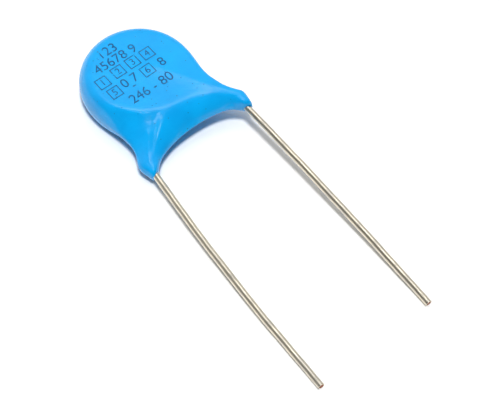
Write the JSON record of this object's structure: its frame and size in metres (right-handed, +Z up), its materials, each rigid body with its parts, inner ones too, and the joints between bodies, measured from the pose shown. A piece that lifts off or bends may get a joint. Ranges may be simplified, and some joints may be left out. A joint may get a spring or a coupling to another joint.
{
  "type": "ceramic disc capacitor",
  "caption": "Round flat ceramic capacitor in a glossy blue epoxy coat, with straight radial wire leads for through-hole boards.",
  "frame": {"origin": "on the surface the part lies on, under the middle of the whole part", "axes": "+Z up through the disc's thickness with the printed front face up, leads towards -Y, back lead at -X and front lead at +X"},
  "size_m": [0.0124, 0.0366, 0.0036],
  "materials": {
    "blue_epoxy": "gloss",
    "titanate_ceramic": "matte",
    "fired_silver": "satin",
    "tinned_wire": "satin",
    "solder": "satin"
  },
  "bodies": {
    "root": {"epoxy_coating": "blue_epoxy", "ceramic_disc": "titanate_ceramic", "front_electrode": "fired_silver", "back_electrode": "fired_silver", "front_lead": "tinned_wire", "back_lead": "tinned_wire", "front_solder_joint": "solder", "back_solder_joint": "solder"}
  },
  "joints": []
}
